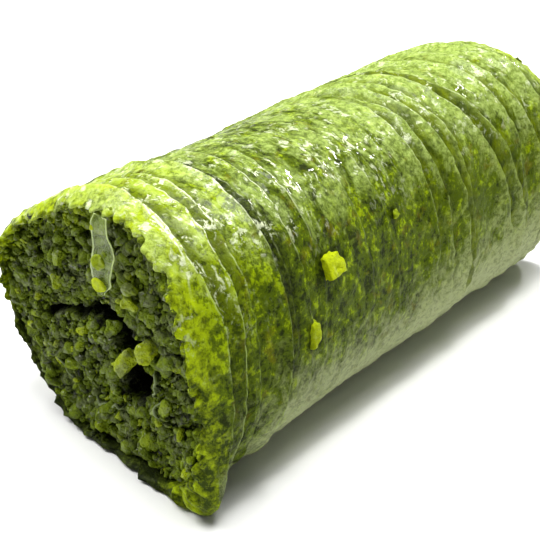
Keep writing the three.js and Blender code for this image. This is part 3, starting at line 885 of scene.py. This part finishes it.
def from_hollow(x, z):
    """How far a point of the face is from the hollow's edge, negative inside it, and its width."""
    off = np.hypot(x[..., None] - HOLLOW_LINE[:, 0], z[..., None] - HOLLOW_LINE[:, 1])
    off = off - HOLLOW_LINE[:, 2] / 2
    nearest = off.argmin(-1)
    return off.min(-1), HOLLOW_LINE[nearest, 2]


def hollow_depth(x, z):
    """How deep the hollow is at a point of the cut face, in millimetres."""
    off, width = from_hollow(x, z)
    off = off + 0.3 * noise(x / 0.8, z / 0.8, 31)
    return (1 - rise(off, -0.4, 0.15)) * np.minimum(HOLLOW_DEPTH, 1.5 + width * 2.6)


def face_angle(x, z):
    return np.degrees(np.arctan2((z - AXIS_HEIGHT) / SECTION_HEIGHT, (x - SIDE_SHIFT) / WIDTH))


def face_height(x, z, side, share):
    """Y of the filling's cut face at the front (-1) or back (1), before its grains."""
    loose = 1 - rise(share, 0.92, 1.0)
    relief = crumble(x, z, 11 if side < 0 else 21) * loose
    if side > 0:
        return back_cut(x, z) - FILLING_RECESS + relief
    angle = face_angle(x, z)
    at_edge = drawn_back(angle) - FILLED_OUT["ahead"] * swell_at(angle, FILLED_OUT)
    behind = FILLING_RECESS + at_edge * share ** 2
    return front_cut(x, z) + behind - relief + hollow_depth(x, z)


CORE_COLUMNS = 260
CORE_RINGS = 70
CORE_INSET = 0.85
LARGE_GRAIN, SMALL_GRAIN = 1.5, 0.7


def make_filling_core():
    """The plug of filling through the roll, crumbly on its cut faces."""
    angle = np.linspace(-90, 270, CORE_COLUMNS + 1)
    shares = np.linspace(0, 1, CORE_RINGS + 1)[:, None]
    points, tones = [], []
    for side in (-1, 1):
        inset = CORE_INSET + (torn_in(angle) if side < 0 else 0)
        edge_x, edge_z = section(angle, inset, CORE_INSET)
        x = SIDE_SHIFT + (edge_x - SIDE_SHIFT) * shares
        z = AXIS_HEIGHT + (edge_z - AXIS_HEIGHT) * shares
        y = face_height(x, z, side, shares)
        large, tone = pebbles(x, y * 0.3, z, LARGE_GRAIN, 80)
        small, fine_tone = pebbles(x, y * 0.3, z, SMALL_GRAIN, 90)
        y = y + side * ((large - 0.6) * 0.5 + (small - 0.5) * 0.28) * (1 - rise(shares, 0.94, 1))
        # Painted shade: the tone falls down between the lumps and deep in the hollow.
        deep = hollow_depth(x, z) if side < 0 else x * 0
        tone = (0.1 + 0.26 * tone + 0.1 * fine_tone) * (large * 0.7 + small * 0.3)
        points.append(np.stack([x, y, z], -1))
        tones.append(tone * (1 - rise(deep, 0.2, 1.6)) - 0.3 * rise(deep, 0.2, 1.6))
    points = np.concatenate([points[0], points[1][::-1]])
    tones = np.concatenate([tones[0], tones[1][::-1]])
    mesh = sheet_mesh("filling_core", points, {"tone": tones})
    add_piece("filling_core", mesh, FILLING, ("pistachio_filling",))


FACE_REACH, FACE_RADIUS = 16, 12    # how far out the cut face goes at most, and on the whole
BRIGHT_SHARE = 0.07            # how many of the grains on a cut are bright

# Layers of grains over a cut: spacing, smallest, largest, how far sunk.
COARSE = ((1.2, 0.9, 1.7, 0.42), (0.74, 0.5, 1.05, 0.3))
FINE = ((0.5, 0.25, 0.55, 0.2),)


def scattered(rng, spacing):
    """Points over the cut face, unevenly spaced, as X, Z and share of the way to the edge."""
    steps = np.arange(-FACE_REACH, FACE_REACH, spacing)
    x, z = np.meshgrid(steps, steps + AXIS_HEIGHT)
    x = (x + rng.uniform(-0.5, 0.5, x.shape) * spacing).ravel()
    z = (z + rng.uniform(-0.5, 0.5, z.shape) * spacing).ravel()
    angle = face_angle(x, z)
    edge_x, edge_z = section(angle, CORE_INSET, CORE_INSET)
    share = np.hypot(x - SIDE_SHIFT, z - AXIS_HEIGHT) / np.hypot(
        edge_x - SIDE_SHIFT, edge_z - AXIS_HEIGHT)
    keep = (share < 0.99 - torn_in(angle) / FACE_RADIUS) & (z > CORE_INSET + 0.2)
    return x[keep], z[keep], share[keep]


def make_face_grains(name, side, seed, layers):
    """Ground nut over one cut face, in layers of (spacing, smallest, largest, how far sunk)."""
    rng = np.random.default_rng(seed)
    spots, sizes, tones = [], [], []
    for spacing, low, high, sink in layers:
        x, z, share = scattered(rng, spacing)
        if side < 0:
            outside = from_hollow(x, z)[0] > high * 0.3
            x, z, share = x[outside], z[outside], share[outside]
        size = low + (high - low) * rng.beta(1.1, 2.8, len(x))
        patch = noise(x / 2.4, z / 2.4, seed) + 0.6 * noise(x / 1.1, z / 1.1, seed + 5)
        y = face_height(x, z, side, share) + side * (size * (0.5 - sink) + 0.2 * patch)
        tone = np.clip(0.34 + 0.1 * patch + rng.normal(0, 0.09, len(x)), 0.08, 0.6)
        tone = np.where(rng.uniform(size=len(x)) < BRIGHT_SHARE, rng.uniform(0.5, 0.9, len(x)), tone)
        tone = tone + 0.12 * rise(share, 0.8, 1)
        spots.append(np.stack([x, y, z], -1))
        sizes.append(size[:, None] * rng.uniform(0.6, 1.5, (len(x), 3)))
        tones.append(tone)
    mesh = grains_mesh(
        name, rng, np.concatenate(spots), np.concatenate(sizes), np.concatenate(tones))
    add_piece(name, mesh, FILLING)


# Larger bits of nut on the front cut: X, Z, length, breadth, turn, lean inwards, how far the
# middle lies behind the cut, and tone.
BOLD_NUTS = (
    (4.4, 10.8, 3.9, 1.95, 53, 15, 1.2, 0.86),
    (7.4, 13.0, 2.3, 1.75, 75, 0, 1.0, 0.88),
    (2.0, 12.7, 2.1, 1.3, 80, 10, 1.6, 0.5),
    (-10.2, 8.0, 1.6, 1.3, 0, 0, 0.9, 0.95),
    (6.0, 17.0, 1.8, 1.2, 10, 0, 0.9, 0.78),
    (6.3, 18.2, 1.3, 0.9, 0, 0, 0.9, 0.62),
    (-4.7, 14.6, 1.6, 1.1, 20, 0, 0.9, 0.68),
    (-3.9, 17.2, 1.9, 0.9, 70, 0, 0.9, 0.56),
    (9.8, 13.4, 1.8, 1.5, 30, 0, 1.1, 0.5),
    (9.2, 8.8, 1.7, 1.2, 60, 0, 1.0, 0.58),
    (8.4, 16.4, 1.7, 1.2, 80, 0, 1.1, 0.5),
    (-7.9, 6.3, 1.5, 1.1, 80, 0, 1.0, 0.55),
    (2.4, 3.4, 1.6, 1.2, 30, 0, 1.0, 0.5),
    (5.6, 4.0, 1.6, 1.2, 10, 0, 1.0, 0.6),
)


def make_bold_nuts():
    rng = np.random.default_rng(7)
    x, z, length, breadth, turn, lean, behind, tone = np.array(BOLD_NUTS).T
    sizes = np.stack([length, breadth, breadth], -1)
    mesh = grains_mesh(
        "bold_nuts", rng, np.stack([x, front_cut(x, z) + behind, z], -1), sizes, tone,
        cuts=11, boxy=0.12, chips=6, rough=0.0, turns=lean_turns(turn, lean), grit=0.3)
    add_piece("bold_nuts", mesh, FILLING)


RIM_GRAINS = 230
CLEAR_OF_BASE = (-50, 268)     # angles


def make_rim_grains(name, side, seed):
    """Bits of nut caught in the pastry along a cut edge."""
    rng = np.random.default_rng(seed)
    count = RIM_GRAINS
    angle = rng.uniform(*CLEAR_OF_BASE, count)
    inset = rng.uniform(0.3, WALL + 0.5, count)
    rim = front_rim(angle) if side < 0 else back_rim(angle)
    size = 0.35 + 0.65 * rng.beta(1.3, 3.0, count)
    y = rim - side * (0.3 * size + 0.8 * np.maximum(0, 0.5 - inset) + rng.uniform(0.1, 0.6, count))
    x, z = skin_point(angle, y, inset)
    sizes = size[:, None] * rng.uniform(0.75, 1.3, (count, 3))
    tone = np.clip(rng.normal(0.36, 0.16, count), 0.0, 0.8) * (1 - 0.8 * stained(angle))
    mesh = grains_mesh(name, rng, np.stack([x, y, z], -1), sizes, tone)
    add_piece(name, mesh, RIM_NUT)


def make_crumbs():
    """Blocky bits of nut stuck on the outside of the pastry."""
    rng = np.random.default_rng(12)
    y, angle, length, breadth, thick, tone = np.array(CRUMBS).T
    x, z = skin_point(angle, y, -0.1)
    a = np.radians(angle)
    out = np.stack([np.cos(a), 0 * a, np.sin(a)], -1)
    along = np.stack([0 * a, 0 * a + 1, 0 * a], -1)
    turns = np.stack([out, along, np.cross(out, along)], -1)
    sizes = np.stack([thick, length, breadth], -1)
    mesh = grains_mesh(
        "stray_nuts", rng, np.stack([x, y, z], -1), sizes, tone,
        cuts=13, boxy=0.6, chips=1, rough=0.0, turns=turns, grit=0.22)
    add_piece("stray_nuts", mesh, RIM_NUT)


def strip_points(x, y, z, half, across):
    """A thin closed strip from the points of its middle, row by row, and how near its edge each is."""
    edge = np.abs(across) * 2
    thin = half * (1 - 0.6 * edge ** 6)
    front = np.stack([x, y - thin, z], -1)
    back = np.stack([x, y + thin, z], -1)
    loop = np.concatenate([front, back[:, ::-1], front[:, :1]], axis=1)
    crest = np.broadcast_to(rise(edge, 0.8, 1.0), x.shape)
    crest = np.concatenate([crest, crest[:, ::-1], crest[:, :1]], axis=1)
    caps = loop.mean(axis=1, keepdims=True).repeat(loop.shape[1], axis=1)
    points = np.concatenate([caps[:1], loop, caps[-1:]])
    return points, np.concatenate([crest[:1], crest, crest[-1:]])


def shred_middle(down, side=0.0):
    """A point of the hanging strip: down from 0 at its top to 1, side from -0.5 to 0.5 across."""
    narrow = (0.72 + 0.5 * np.sin(down * 2.6)) * (1 - 0.75 * rise(down, 0.8, 1))
    narrow = narrow * (1 + 0.1 * noise(down * 9, np.sign(side) * 3.0, 61))
    x = SHRED["x"] + side * SHRED["width"] * narrow + SHRED["sway"] * np.sin(down * np.pi)
    z = SHRED["top"] - down * (SHRED["top"] - SHRED["bottom"]) + x * 0
    ahead = SHRED["ahead_top"] + (SHRED["ahead_bottom"] - SHRED["ahead_top"]) * down
    wave = 0.12 * np.sin(down * 11) + 0.1 * noise(x / 0.8, z / 0.8, 62)
    return x, front_cut(x, z) - ahead - wave, z


# Bits of nut on the hanging strip: how far down, how far across, how big, turn and tone.
STRIP_NUTS = (
    (0.16, -0.4, 0.5, 0, 0.7), (0.58, -0.08, 1.25, 40, 0.6), (0.86, -0.05, 1.35, 20, 0.85),
    (0.45, 0.1, 0.7, 60, 0.3))
SHRED_ROWS, SHRED_COLUMNS = 61, 17


def make_shred():
    """The torn strip of film that hangs over the cut face, with nut stuck to it."""
    down = np.linspace(0, 1, SHRED_ROWS)[:, None]
    side = np.linspace(-0.5, 0.5, SHRED_COLUMNS)[None]
    x, y, z = shred_middle(down, side)
    points, crest = strip_points(x, y, z, SHRED["thickness"] / 2, side)
    mesh = sheet_mesh("pastry_strip", points, {"crest": crest})
    add_piece("pastry_strip", mesh, FILM, ("pastry_shred",))
    rng = np.random.default_rng(15)
    down, side, size, turn, tone = np.array(STRIP_NUTS).T
    x, y, z = shred_middle(down, side)
    sizes = np.stack([size, size * 0.5, size], -1)
    nuts = grains_mesh(
        "strip_nuts", rng, np.stack([x, y - 0.12, z], -1), sizes, tone,
        cuts=7, boxy=0.3, chips=4, rough=0.0, turns=lean_turns(turn, 0 * turn), grit=0.14)
    add_piece("strip_nuts", nuts, RIM_NUT)


FILM_SCRAPS = 12
FILM_THICKNESS = 0.12
FILM_TURNS = (0.34, 0.6, 0.86)    # how far out the rolled-up film's turns lie, 1 at the edge


def make_face_film():
    """Scraps of the rolled-up inner film that stand out of the cut face, following its turns."""
    rng = np.random.default_rng(21)
    rows, columns = 5, 9
    blocks, corners, edges = [], [], []
    across = np.linspace(-0.5, 0.5, rows)[:, None]
    along = np.linspace(-0.5, 0.5, columns)[None]
    for _ in range(FILM_SCRAPS):
        angle = rng.uniform(0, 360)
        share = rng.choice(FILM_TURNS) + rng.normal(0, 0.03)
        length, height = rng.uniform(1.2, 3.6), rng.uniform(0.6, 1.3)
        edge_x, edge_z = section(angle, CORE_INSET, CORE_INSET)
        reach = np.hypot(edge_x - SIDE_SHIFT, edge_z - AXIS_HEIGHT) * share
        turned = np.radians(angle) + along * length / reach
        out = reach + 0.25 * np.sin(along * 9 + angle) + 0.2 * across * np.sin(along * 5 + angle * 3)
        x = SIDE_SHIFT + out * np.cos(turned) + 0 * across
        z = AXIS_HEIGHT + out * np.sin(turned) + 0 * across
        if z.min() < 2.2 or from_hollow(x, z)[0].min() < 0.25:
            continue
        proud = height * (1 - (2 * along) ** 4)
        y = face_height(x, z, -1, share) - 0.1 - (across + 0.35) * proud
        first = sum(len(b) for b in blocks)
        blocks.append(np.stack([x, y, z], -1).reshape(-1, 3))
        index = first + np.arange(rows * columns).reshape(rows, columns)
        corners.append(np.stack([
            index[:-1, :-1], index[:-1, 1:], index[1:, 1:], index[1:, :-1]], -1).reshape(-1, 4))
        edges.append(rise(across + 0 * along, 0.2, 0.5).ravel())
    mesh = bpy.data.meshes.new("face_film")
    spots = placed(np.concatenate(blocks))
    mesh.from_pydata(spots.tolist(), [], np.concatenate(corners).tolist())
    mark(mesh, "crest", np.concatenate(edges))
    film = add_piece("face_film", mesh, INNER_FILM)
    skin = film.modifiers.new("thickness", "SOLIDIFY")
    skin.thickness = FILM_THICKNESS * MM


# The stage

FLOOR_REACH = 1.5              # metres from its middle to each side
LIGHTS_AIM = (0, 0, 10)
SKY_STRENGTH = 0.18

# Soft square lights: name, spot and width in millimetres, and power.
LIGHTS = (
    ("window", (-270, -70, 330), 260, 2.3),
    ("overhead", (30, 20, 460), 280, 2.5),
    ("lamp", (60, 60, 440), 55, 0.5),
    ("behind", (45, 250, 250), 28, 0.34),
)


def make_floor():
    bm = bmesh.new()
    bmesh.ops.create_grid(bm, x_segments=1, y_segments=1, size=FLOOR_REACH)
    mesh = bpy.data.meshes.new("floor")
    bm.to_mesh(mesh)
    bm.free()
    f = Finish("pale_table")
    mesh.materials.append(f.surface(Base_Color=(0.86, 0.86, 0.85, 1), Roughness=0.5))
    floor = added("floor", mesh)


def make_light(name, spot, size, power):
    data = bpy.data.lights.new(name, "AREA")
    data.size = size * MM
    data.energy = power
    lamp = added(name, data)
    lamp.location = Vector(spot) * MM
    away = Vector(spot) - Vector(LIGHTS_AIM)
    lamp.rotation_mode = "QUATERNION"
    lamp.rotation_quaternion = away.to_track_quat("Z", "Y")


def make_camera():
    data = bpy.data.cameras.new("camera")
    data.lens = CAMERA_LENS
    data.sensor_width = CAMERA_SENSOR
    data.clip_start, data.clip_end = CAMERA_SEES
    camera = added("camera", data)
    turn, lift, roll = (math.radians(a) for a in (CAMERA_TURN, CAMERA_LIFT, CAMERA_ROLL))
    back = Vector((math.sin(turn) * math.cos(lift), -math.cos(turn) * math.cos(lift), math.sin(lift)))
    level = Vector((math.cos(turn), math.sin(turn), 0))
    steep = back.cross(level)
    right = level * math.cos(roll) + steep * math.sin(roll)
    up = steep * math.cos(roll) - level * math.sin(roll)
    place = Matrix((right, up, back)).transposed().to_4x4()
    place.translation = Vector(placed(CAMERA_SPOT))
    camera.matrix_world = place
    bpy.context.scene.camera = camera


def make_studio():
    world = bpy.data.worlds.new("studio")
    world.use_nodes = True
    sky = world.node_tree.nodes["Background"].inputs
    sky["Color"].default_value = (1, 1, 1, 1)
    sky["Strength"].default_value = SKY_STRENGTH
    bpy.context.scene.world = world
    for light in LIGHTS:
        make_light(*light)
    bpy.context.scene.view_settings.view_transform = "Standard"


make_pastry()
make_filling_core()
make_face_grains("front_grains", -1, 101, COARSE)
make_face_grains("front_fines", -1, 102, FINE)
make_face_grains("back_grains", 1, 103, COARSE)
make_face_grains("back_fines", 1, 106, FINE)
make_bold_nuts()
make_face_film()
make_rim_grains("front_rim_grains", -1, 104)
make_rim_grains("back_rim_grains", 1, 105)
make_crumbs()
make_shred()
make_floor()
make_camera()
make_studio()
